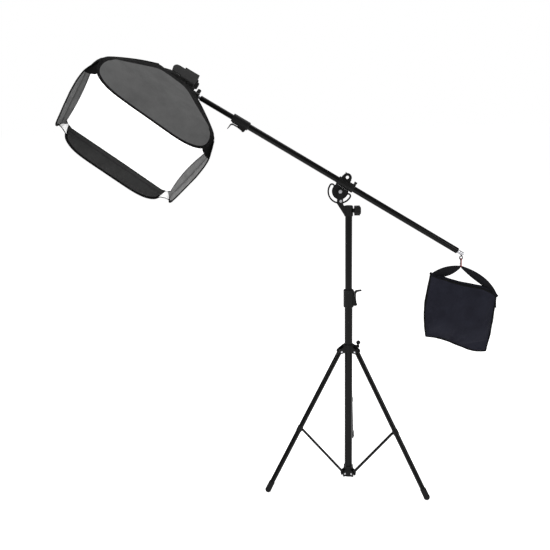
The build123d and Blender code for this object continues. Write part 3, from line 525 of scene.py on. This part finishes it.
def cloth_shape(across, depth, seed):
    """How far a side's cloth lies off its plane: slack between the wires, tension folds and puckers."""
    half = max(straight_reach(depth) if depth < KNEE_DEPTH else lip_half_width(depth), 0.02)
    share = min(abs(across) / half, 1.0)
    slack = -0.0045 * (1 - share * share) * math.sin(math.pi * min(depth / KNEE_DEPTH, 1.0))
    ripple = 0.0009 * noise.noise(Vector((across * 14 + seed, depth * 14, seed)))
    folds = 0.0
    for side in (-1, 1):
        dx, dz = across - side * KNEE_REACH * 0.97, depth - KNEE_DEPTH
        far = math.hypot(dx, dz)
        angle = math.atan2(dz, -side * dx)
        folds += 0.0022 * math.exp(-far / 0.07) * math.sin(angle * 9 + seed) * min(1.0, far / 0.02)
        px, pz = across - side * 0.212, depth - 0.236
        run = px * 0.5 * side + pz * 0.87
        off = px * 0.87 * side - pz * 0.5
        folds -= 0.0050 * math.exp(-(run / 0.016) ** 2 - (off / 0.006) ** 2)
    return slack + ripple + folds


def make_side(name, angle, looks, seed):
    """One sewn side of the softbox, with its wide binding along the seams and its lining inside."""
    out_x, out_y = math.cos(angle), math.sin(angle)

    def place(across, depth, lift=0.0):
        across, off = rounded(across, reach(depth), depth)
        off += cloth_shape(across, depth, seed) + lift
        return soft_point(out_x * off - out_y * across, out_y * off + out_x * across, depth)

    outline = side_outline(0.009)
    inner = inset_loop(outline, [band_width(p) for p in outline], 10)
    low = outline.min(axis=0)
    high = outline.max(axis=0)
    grid = []
    for x in np.arange(low[0] + 0.006, high[0], 0.013):
        for z in np.arange(low[1] + 0.006, high[1], 0.013):
            point = np.array((x, z))
            clear = min(
                np.linalg.norm(outline - point, axis=1).min(),
                np.linalg.norm(inner - point, axis=1).min(),
            )
            if clear > 0.006 and inside(point, outline):
                grid.append(point)
    flat = [Vector(p) for p in list(outline) + list(inner) + grid]
    n, m = len(outline), len(inner)
    edges = [(i, (i + 1) % n) for i in range(n)] + [(n + i, n + (i + 1) % m) for i in range(m)]
    flat, _, faces, _, _, _ = delaunay_2d_cdt(flat, edges, [list(range(n))], 1, 1e-7)
    points = []
    for p in flat:
        near_edge = np.linalg.norm(inner - np.array(p), axis=1).min()
        banded = not inside(p, inner) and near_edge > 0.003
        points.append(place(p[0], p[1], 0.0007 if banded else 0.0))
    piece = mesh_piece(name, points, [tuple(f) for f in faces], "softbox", looks[0], looks[1:])
    outwards = soft_x * out_x + soft_y * out_y
    mesh = piece.data
    if sum(p.normal.dot(outwards) for p in mesh.polygons) < 0:
        mesh.flip_normals()
    for polygon in mesh.polygons:
        middle = sum((Vector(flat[i]) for i in polygon.vertices), Vector((0, 0))) / len(polygon.vertices)
        polygon.material_index = 0 if inside(middle, inner) else 1
    solid = piece.modifiers.new("cloth", "SOLIDIFY")
    solid.thickness = CLOTH
    solid.offset = -1
    solid.material_offset = 2
    solid.use_even_offset = False
    lip_path = [place(-x, z, -CLOTH / 2) for x, z in [(-q[0], q[1]) for q in lip_curve()]]
    lip_path += [place(-x, z, -CLOTH / 2) for x, z in list(reversed(lip_curve()))[1:]]
    lip_path = resample(lip_path, 0.008)
    edge = mesh_piece("lip_binding_" + name.split("_")[1], *tube_mesh(lip_path, 0.0028, 8), "softbox",
                      "panel_black", ["binding"])
    rows = []
    for inset in (0.0035, 0.021):
        loop = inset_loop(outline, [min(inset, band_width(p) - 0.003) for p in outline], 2)
        closed = list(loop) + [loop[0]]
        rows.append(stitch_mesh([place(x, z, 0.0008) for x, z in closed], lambda p: outwards))
    stitches = mesh_piece(
        "stitches_" + name.split("_")[1], *merged(*rows), "softbox", "panel_black", ["thread"], smooth=False
    )
    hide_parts("panel_" + name.split("_")[1])
    return place


def grid_faces(rows, columns, closed_rows=False):
    """Quads of a grid of points stored row by row."""
    faces = []
    for i in range(rows if closed_rows else rows - 1):
        for j in range(columns - 1):
            a, b = i * columns + j, ((i + 1) % rows) * columns + j
            faces.append((a, b, b + 1, a + 1))
    return faces


def make_corner(name, angle, places, looks, dip):
    """Cloth between the rounded lips of two neighbouring sides, folded inwards in its middle."""
    first, second = places
    rows, columns = 16, 13
    points = []
    for i in range(rows):
        depth = KNEE_DEPTH - 0.004 + 0.092 * i / (rows - 1)
        half = lip_half_width(depth) - 0.001
        a = first(half, depth, -CLOTH - 0.0004)
        b = second(-half, depth, -CLOTH - 0.0004)
        corner = (a + b) / 2
        axis_point = ring_centre + front * depth
        inwards = (axis_point - corner).normalized()
        spread = (b - a).length
        for j in range(columns):
            share = j / (columns - 1)
            fold = math.sin(math.pi * share) * min(spread * 0.22, dip)
            pleat = 0.0016 * math.sin(3 * math.pi * share) * min(1.0, spread / 0.03)
            points.append(a.lerp(b, share) + inwards * (fold + pleat))
    piece = mesh_piece(name, points, grid_faces(rows, columns), "softbox", "panel_black", looks)
    outwards = places[0](0, 0, 1) - places[0](0, 0, 0) + places[1](0, 0, 1) - places[1](0, 0, 0)
    if sum(p.normal.dot(outwards) for p in piece.data.polygons) < 0:
        piece.data.flip_normals()
    solid = piece.modifiers.new("cloth", "SOLIDIFY")
    solid.thickness = CLOTH
    solid.offset = -1
    solid.material_offset = 1
    smooth = piece.modifiers.new("smooth", "SUBSURF")
    smooth.levels = smooth.render_levels = 1
    hem = points[(rows - 1) * columns:]
    edge = mesh_piece(name + "_hem", *tube_mesh(resample(hem, 0.006), 0.0018, 8), "softbox", "panel_black",
                      ["binding"])
    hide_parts(name.replace("softbox_corner", "gusset"))


def front_edge(side, share):
    """How far the white cloth's edge stays inside a side's cloth, along the edge from -1 to 1."""
    least_and_bow = {
        "right": (0.006, 0.017),
        "top": (0.0045, 0.0),
        "left": (0.009, 0.009),
        "bottom": (0.009, 0.003),
    }
    least, bow = least_and_bow[side]
    return least + bow * (1 - share * share)


def front_point(u, v):
    """Point of the white cloth in the softbox's own x and y, for u and v from -1 to 1."""
    half = straight_reach(DIFFUSER_DEPTH)
    right, left = half - front_edge("right", v), half - front_edge("left", v)
    top, bottom = half - front_edge("top", u), half - front_edge("bottom", u)
    x = u * (right if u > 0 else left)
    y = v * (top if v > 0 else bottom)
    over = abs(x) + abs(y) - (2 * half - 0.052)
    if over > 0:
        x -= math.copysign(over / 2, x)
        y -= math.copysign(over / 2, y)
    return x, y


def make_front_cloth():
    """White diffusion cloth with a painted glow, drawn tight, with a sewn hem, and the narrow flaps that hold
    its edges.
    """
    count = 46
    points = []
    for i in range(count + 1):
        for j in range(count + 1):
            u, v = -1 + 2 * i / count, -1 + 2 * j / count
            x, y = front_point(u, v)
            billow = 0.004 * math.cos(math.pi * u / 2) * math.cos(math.pi * v / 2)
            hem = 0.0007 if max(abs(u), abs(v)) > 0.94 else 0.0
            corner = math.hypot(1 - abs(u), 1 - abs(v)) * 0.26
            ray = math.atan2(1 - abs(v), 1 - abs(u) + 1e-9)
            pull = 0.0008 * math.exp(-corner / 0.06) * math.sin(ray * 10)
            points.append(soft_point(x, y, DIFFUSER_DEPTH + billow + hem + pull))
    piece = mesh_piece("front_cloth", points, grid_faces(count + 1, count + 1), "softbox", "diffuser_white",
                       ["front_cloth"])
    if sum(p.normal.dot(front) for p in piece.data.polygons) < 0:
        piece.data.flip_normals()
    solid = piece.modifiers.new("cloth", "SOLIDIFY")
    solid.thickness = 0.0012
    solid.offset = -1
    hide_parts("diffuser")
    rows = []
    edges = {
        "right": lambda t: (1.0, t),
        "top": lambda t: (t, 1.0),
        "left": lambda t: (-1.0, t),
        "bottom": lambda t: (t, -1.0),
    }
    # The flaps' lining greys are painted light and shade: one fabric, made lighter on the right and darker on
    # top and bottom.
    looks = {"right": "lining_painted_light", "top": "lining_painted_shade", "left": "lining_painted_half_light", "bottom": "lining_painted_shade"}
    axes = {"right": (1, 0), "top": (0, 1), "left": (-1, 0), "bottom": (0, -1)}
    for side, edge in edges.items():
        inner = [front_point(*[0.945 * c for c in edge(t)]) for t in np.linspace(-0.97, 0.97, 40)]
        hem_line = [soft_point(x, y, DIFFUSER_DEPTH + 0.0012) for x, y in inner]
        rows.append(stitch_mesh(hem_line, lambda p: front))
        grid = []
        columns = 5
        across_x, across_y = axes[side]
        steps = np.linspace(-0.955, 0.955, 44)
        for t in steps:
            x, y = front_point(*edge(t))
            inwards = straight_reach(DIFFUSER_DEPTH) - (x * across_x + y * across_y)
            for k in range(columns):
                share = k / (columns - 1)
                depth = DIFFUSER_DEPTH + 0.0015 + share * (0.004 + 0.9 * inwards)
                off = (reach(depth) - CLOTH - 0.0012) * share + (x * across_x + y * across_y) * (1 - share)
                gather = 0.0007 * math.sin(t * 60 + k) * (1 - share) * share * 4
                along = x * across_y + y * across_x
                px = across_x * off + (0 if across_x else along)
                py = across_y * off + (0 if across_y else along)
                grid.append(soft_point(px, py, depth + gather))
        faces = grid_faces(len(steps), columns)
        flap = mesh_piece("front_flap_" + side, grid, faces, "softbox", "panel_black", [looks[side]])
        if sum(p.normal.dot(front) for p in flap.data.polygons) < 0:
            flap.data.flip_normals()
        solid = flap.modifiers.new("cloth", "SOLIDIFY")
        solid.thickness = 0.0009
        solid.offset = -1
        ridge = [soft_point(*front_point(*edge(t)), DIFFUSER_DEPTH + 0.0014) for t in steps]
        cord = tube_mesh(resample(ridge, 0.008), 0.0013, 8)
        piping = mesh_piece("front_piping_" + side, *cord, "softbox", "panel_black", ["binding"])
    stitches = mesh_piece(
        "front_cloth_stitches", *merged(*rows), "softbox", "diffuser_white", ["front_cloth"], smooth=False
    )


def make_back_and_seams():
    """Cloth square round the ring, and the piped seams with the sprung wires between the sides."""
    around = 96
    rings = 6
    bore = 0.0712
    points = []
    for i in range(around):
        angle = 2 * math.pi * i / around
        x, y = math.cos(angle), math.sin(angle)
        edge = (RING_REACH - 0.001) / max(abs(x), abs(y))
        for j in range(rings):
            r = bore + (edge - bore) * j / (rings - 1)
            points.append(soft_point(x * r, y * r, 0.0006 + 0.002 * j / (rings - 1)))
    faces = grid_faces(around, rings, True)
    back = mesh_piece("softbox_back", points, faces, "softbox", "panel_black", ["binding"])
    if sum(p.normal.dot(front) for p in back.data.polygons) > 0:
        back.data.flip_normals()
    solid = back.modifiers.new("cloth", "SOLIDIFY")
    solid.thickness = CLOTH
    solid.offset = -1
    tubes = []
    for sx, sy in ((1, 1), (-1, 1), (-1, -1), (1, -1)):
        path = []
        for i in range(33):
            depth = 0.003 + (KNEE_DEPTH - 0.003) * i / 32
            off = rounded(1.0, reach(depth), depth)[1] - 0.0008
            path.append(soft_point(sx * off, sy * off, depth))
        tubes.append(tube_mesh(path, 0.0034, 10))
    rim = [soft_point(sx * 0.0742, sy * 0.0742, 0.0018) for sx, sy in ((1, 1), (-1, 1), (-1, -1), (1, -1))]
    tubes.append(tube_mesh(resample(rim, 0.01, closed=True), 0.0024, 8, closed=True))
    seams = mesh_piece("softbox_seams", *merged(*tubes), "softbox", "panel_black", ["binding"])
    return [back, seams]


def make_softbox():
    quarter = math.pi / 2
    # The fourth slot is the lining: one fabric with painted light on the right, painted half shade on the
    # left and painted shade on top and bottom.
    looks = {
        "right": ("panel_black", "panel_black", "binding", "lining_painted_light", "binding"),
        "top": ("panel_grey", "panel_grey", "binding", "lining_painted_shade", "binding"),
        "left": ("panel_black", "panel_black", "binding", "lining_painted_half_light", "binding"),
        "bottom": ("panel_black", "panel_black", "binding", "lining_painted_shade", "binding"),
    }
    places = {}
    for k, (name, surface) in enumerate(looks.items()):
        others = make_back_and_seams() if name == "top" else []
        places[name] = make_side("softbox_" + name, k * quarter, surface, 3.0 + 1.7 * k)
    corner_sides = {
        "top_right": ("right", "top", "binding"),
        "top_left": ("top", "left", "binding"),
        "bottom_left": ("left", "bottom", "binding"),
        "bottom_right": ("bottom", "right", "binding"),
    }
    # Corners are black binding outside and silver inside, the inside with a painted glow.
    for k, (name, (first, second, outer)) in enumerate(corner_sides.items()):
        make_corner("softbox_corner_" + name, (k + 0.5) * quarter, (places[first], places[second]),
                    [outer, "silver_painted_glow"], 0.010)
    make_front_cloth()


# ---------------------------------------------------------------- sandbag

BAG_CORNERS = {
    "top_left": Vector((0.360, 0.939)),
    "top_right": Vector((0.644, 0.836)),
    "bottom_right": Vector((0.608, 0.595)),
    "bottom_left": Vector((0.346, 0.667)),
}
POUCH_HALF = 0.033
POUCH_GAP = 0.0022
BINDING_INSIDE = 0.004
BINDING_OUTSIDE = 0.0045
BINDING_HALF = 0.0012
STITCH_PROUD = 0.0024


def top_bow(across):
    """How far the bag's top edge rises over a straight line, most of it near the strap's right foot."""
    return 0.018 * math.sin(math.pi * across ** 3.6)


def bag_point(across, down):
    """Point of the bag's outline square, 0 to 1 each way, as (x, z)."""
    c = BAG_CORNERS
    upper = c["top_left"].lerp(c["top_right"], across)
    lower = c["bottom_left"].lerp(c["bottom_right"], across)
    point = upper.lerp(lower, down)
    belly = math.sin(math.pi * down ** 1.25)
    point.x -= max(0.0, 1 - 2 * across) * belly * 0.014
    point.x += max(0.0, 2 * across - 1) * belly * 0.005
    point.y += top_bow(across) * (1 - down)
    point.y += down * (0.006 * math.sin(2 * math.pi * across) - 0.006 * math.sin(math.pi * across ** 3))
    ripple = 0.0012 * noise.noise(Vector((across * 9, down * 9, 0.5)))
    return point + Vector((ripple, ripple))


def make_pouch(name, centre_y, shift, seed):
    """One filled pouch, sewn flat and then blown up as cloth, slack at the top and full at the bottom."""
    columns, rows = 44, 40
    points = []
    index = {}
    faces = []
    for layer in (-1, 1):
        for i in range(columns + 1):
            for j in range(rows + 1):
                rim = i in (0, columns) or j in (0, rows)
                key = (0, i, j) if rim else (layer, i, j)
                if key in index:
                    continue
                flat = bag_point(i / columns, j / rows)
                index[key] = len(points)
                off = 0.0 if rim else layer * 0.003
                points.append(Vector((flat.x + shift[0], centre_y + off, flat.y + shift[1])))
    for layer in (-1, 1):
        for i in range(columns):
            for j in range(rows):
                quad = []
                for a, b in ((i, j), (i + 1, j), (i + 1, j + 1), (i, j + 1)):
                    key = (0, a, b) if a in (0, columns) or b in (0, rows) else (layer, a, b)
                    quad.append(index[key])
                faces.append(tuple(quad) if layer < 0 else tuple(quad[::-1]))
    shares = {}
    for (layer, i, j), k in index.items():
        shares[k] = (i / columns, j / rows, layer)
    rim_points = [k for (layer, i, j), k in index.items() if layer == 0]
    final = inflate(points, faces, rim_points, seed)
    fullness = np.abs(final[:, 1] - centre_y).max()
    for k, (u, v, layer) in shares.items():
        lower = min(1.0, max(0.0, v / 0.75))
        slack = 0.42 + 0.58 * lower * lower * (3 - 2 * lower)
        final[k, 1] = centre_y + (final[k, 1] - centre_y) * slack * POUCH_HALF / fullness
    rim_keys = [(0, i, 0) for i in range(columns)] + [(0, columns, j) for j in range(rows)]
    rim_keys += [(0, columns - i, rows) for i in range(columns)] + [(0, 0, rows - j) for j in range(rows)]
    rim = [Vector(final[index[key]]) for key in rim_keys]
    body = mesh_piece(name, [Vector(p) for p in final], faces, "bag", "bag_fabric", ["bag"])
    smooth = body.modifiers.new("smooth", "SUBSURF")
    smooth.levels = smooth.render_levels = 1
    middle = sum(rim, Vector((0, 0, 0))) / len(rim)
    edge_points, edge_faces = [], []
    for k, point in enumerate(rim):
        outwards = point - middle
        outwards.y = 0
        outwards.normalize()
        wave = 0.0012 * math.sin(k * 0.55 + seed)
        inner, outer = -BINDING_INSIDE, BINDING_OUTSIDE
        for off, side in ((inner, -1), (outer, -1), (outer, 1), (inner, 1)):
            edge_points.append(point + outwards * off + Vector((0, side * BINDING_HALF + wave, 0)))
    count = len(rim)
    for k in range(count):
        for s in range(4):
            a, b = k * 4 + s, k * 4 + (s + 1) % 4
            c, d = ((k + 1) % count) * 4 + (s + 1) % 4, ((k + 1) % count) * 4 + s
            edge_faces.append((a, b, c, d))
    binding = mesh_piece(name + "_binding", edge_points, edge_faces, "bag", "webbing", ["binding"])
    soften = binding.modifiers.new("smooth", "SUBSURF")
    soften.levels = soften.render_levels = 1
    stitches = stitch_mesh([p + Vector((0, -STITCH_PROUD, 0)) for p in rim], lambda p: Vector((0, -1, 0)))
    mesh_piece(name + "_stitches", *stitches, "bag", "webbing", ["thread"], smooth=False)
    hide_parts(name.replace("sandbag", "pouch"))
    if name == "sandbag_front":
        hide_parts("sand_fill")
    return rim


def inflate(points, faces, rim, seed):
    """Blows a sewn pouch up as slack cloth held along its seam, and gives its points back."""
    mesh = bpy.data.meshes.new("pouch_cloth")
    randomness = random.Random(seed)
    loose = [p + Vector((0, randomness.uniform(-0.0006, 0.0006), 0)) for p in points]
    mesh.from_pydata([tuple(p) for p in loose], [], faces)
    mesh.update()
    body = bpy.data.objects.new("pouch_cloth", mesh)
    scene.collection.objects.link(body)
    body.vertex_groups.new(name="seam").add(rim, 1.0, "REPLACE")
    cloth = body.modifiers.new("cloth", "CLOTH")
    settings = cloth.settings
    settings.vertex_group_mass = "seam"
    settings.shrink_min = -0.05
    settings.quality = 6
    settings.mass = 0.25
    settings.tension_stiffness = 12
    settings.compression_stiffness = 12
    settings.shear_stiffness = 6
    settings.bending_stiffness = 0.15
    settings.use_pressure = True
    settings.uniform_pressure_force = 3.2
    settings.effector_weights.gravity = 0.0
    cloth.collision_settings.use_collision = False
    cloth.point_cache.frame_start = 1
    cloth.point_cache.frame_end = 30
    for number in range(1, 27):
        scene.frame_set(number)
    evaluated = body.evaluated_get(bpy.context.evaluated_depsgraph_get())
    grown = np.array([tuple(v.co) for v in evaluated.data.vertices])
    bpy.data.objects.remove(body)
    scene.frame_set(1)
    return grown


def make_web():
    """The folded top of the bag, where both pouches hang from one sewn band."""
    columns, rows = 48, 6
    left, right = Vector((0.362, 0.9365)), Vector((0.645, 0.8335))
    band_depth = 0.055
    parts = []
    for side in (-1, 1):
        points = []
        for i in range(columns + 1):
            u = i / columns
            for j in range(rows + 1):
                v = j / rows
                x = left.x + (right.x - left.x) * u
                top = left.y + (right.y - left.y) * u + top_bow(u)
                z = top - band_depth * v
                sag = 0.0016 * math.sin(u * 21 + side) * v
                points.append(Vector((x, side * (0.0017 + 0.010 * v * v) + sag, z)))
        faces = grid_faces(columns + 1, rows + 1)
        parts.append((points, faces if side < 0 else [f[::-1] for f in faces]))
    ridge = []
    for i in range(41):
        share = i / 40
        ridge.append(Vector((0.360 + 0.287 * share, 0, 0.9372 - 0.1045 * share + top_bow(share))))
    parts.append(tube_mesh(ridge, 0.0036, 10))
    points, faces = merged(*parts)
    web = mesh_piece("sandbag_top_band", points, faces, "bag", "bag_fabric", ["bag"])
    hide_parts("bag_web")
    rows_of_stitches = []
    for drop in (0.007, 0.020):
        path = [p + Vector((0, -STITCH_PROUD - drop * 0.05, -drop)) for p in ridge]
        rows_of_stitches.append(stitch_mesh(path, lambda p: Vector((0, -1, 0))))
    mesh_piece("sandbag_top_stitches", *merged(*rows_of_stitches), "bag", "webbing", ["thread"], smooth=False)


def arc_through(a, b, c, count):
    """Points on a smooth curve through three (x, z) points."""
    a, b, c = Vector(a), Vector(b), Vector(c)
    middle = b * 2 - (a + c) / 2
    return [a.lerp(middle, t).lerp(middle.lerp(c, t), t) for t in (i / count for i in range(count + 1))]


def make_strap():
    """Carrying strap: a wide soft band that bulges between the bag's corners and the hook."""
    left_outer = ((0.357, 0.936), (0.416, 0.965), (0.484, 0.9695))
    left_inner = ((0.390, 0.925), (0.440, 0.932), (0.483, 0.9625))
    right_outer = ((0.650, 0.832), (0.590, 0.914), (0.4872, 0.9695))
    right_inner = ((0.606, 0.866), (0.541, 0.9135), (0.4878, 0.9625))
    parts = []
    stitch_rows = []
    across_count = 10
    for outer, inner in ((left_outer, left_inner), (right_outer, right_inner)):
        upper = arc_through(*outer, 40)
        lower = arc_through(*inner, 40)
        for side in (-1, 1):
            points = []
            for i, (top, bottom) in enumerate(zip(upper, lower)):
                for j in range(across_count + 1):
                    v = j / across_count
                    flat = top.lerp(bottom, v)
                    along = math.sin(math.pi * (0.15 + 0.85 * i / 40))
                    bulge = 0.0012 + 0.0042 * math.sin(math.pi * v) * along
                    ripple = 0.0006 * math.sin(i * 0.8 + v * 5)
                    points.append(Vector((flat.x, side * bulge + ripple, flat.y)))
            faces = grid_faces(len(upper), across_count + 1)
            parts.append((points, faces if side < 0 else [f[::-1] for f in faces]))
        for line in (0.09, 0.91):
            path = [t.lerp(b, line) for t, b in zip(upper, lower)]
            path = [Vector((p.x, -0.0026, p.y)) for p in path[:-5]]
            stitch_rows.append(stitch_mesh(path, lambda p: Vector((0, -1, 0))))
        for path in (upper, lower):
            parts.append(tube_mesh([Vector((p.x, 0, p.y)) for p in path], 0.0016, 8))
    wrap = []
    for i in range(15):
        angle = math.radians(-20 + 220 * i / 14)
        wrap.append(Vector((0.4854 + 0.0044 * math.cos(angle), 0, 0.966 + 0.0044 * math.sin(angle))))
    parts.append(tube_mesh(wrap, 0.0016, 8))
    tails = (((0.362, 0.936), (-0.009, 0.006)), ((0.643, 0.839), (0.008, -0.008)))
    for (x, z), (dx, dz) in tails:
        width = Vector((-dz, 0, dx)).normalized() * 0.005
        tail = []
        for share in (0.0, 0.5, 1.0):
            centre = Vector((x + dx * share, 0, z + dz * share))
            for side, off in ((-1, -1), (1, -1), (1, 1), (-1, 1)):
                tail.append(centre + width * side + Vector((0, off * 0.0022, 0)))
        quads = []
        for ring in range(2):
            for s in range(4):
                a, b = ring * 4 + s, ring * 4 + (s + 1) % 4
                quads.append((a, b, b + 4, a + 4))
        quads.append((8, 9, 10, 11))
        quads.append((3, 2, 1, 0))
        parts.append((tail, quads))
    strap = mesh_piece("sandbag_strap", *merged(*parts), "bag", "webbing", ["webbing"])
    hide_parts("bag_strap")
    mesh_piece("strap_stitches", *merged(*stitch_rows), "bag", "webbing", ["thread"], smooth=False)


def make_bag():
    gap = POUCH_HALF + POUCH_GAP
    make_pouch("sandbag_front", -gap, (-0.011, 0.0), 3)
    make_pouch("sandbag_back", gap, (0.003, -0.005), 8)
    make_web()
    make_strap()


# ---------------------------------------------------------------- floor

def make_floor():
    mesh = bpy.data.meshes.new("floor")
    mesh.from_pydata([(-30, -12, 0), (30, -12, 0), (30, 60, 0), (-30, 60, 0)], [], [(0, 1, 2, 3)])
    floor = bpy.data.objects.new("floor", mesh)
    scene.collection.objects.link(floor)
    s = Shader("studio_floor")
    s.link(s.ramp(s.noise(2.0, 3.0), ((0.3, (0.93, 0.93, 0.93)), (0.7, (0.96, 0.96, 0.96)))), "Base Color")
    s.link(s.level(s.noise(30.0), 0.9, 1.0), "Roughness")
    s.bsdf.inputs["Emission Color"].default_value = (1, 1, 1, 1)
    s.bsdf.inputs["Emission Strength"].default_value = 0.7
    mesh.materials.append(s.material)


make_camera()
make_world()
area_light("key", (-2.6, -3.2, 3.4), (-0.2, 0, 1.0), 1.6, 120)
area_light("fill", (3.0, -2.6, 2.2), (0.0, 0, 0.9), 1.4, 45)
area_light("top", (0.0, 1.0, 4.2), (0.0, 0.3, 0.0), 3.5, 90)
scene.view_settings.view_transform = "Standard"
make_floor()
paint_cad_nodes()
make_softbox()
make_bag()
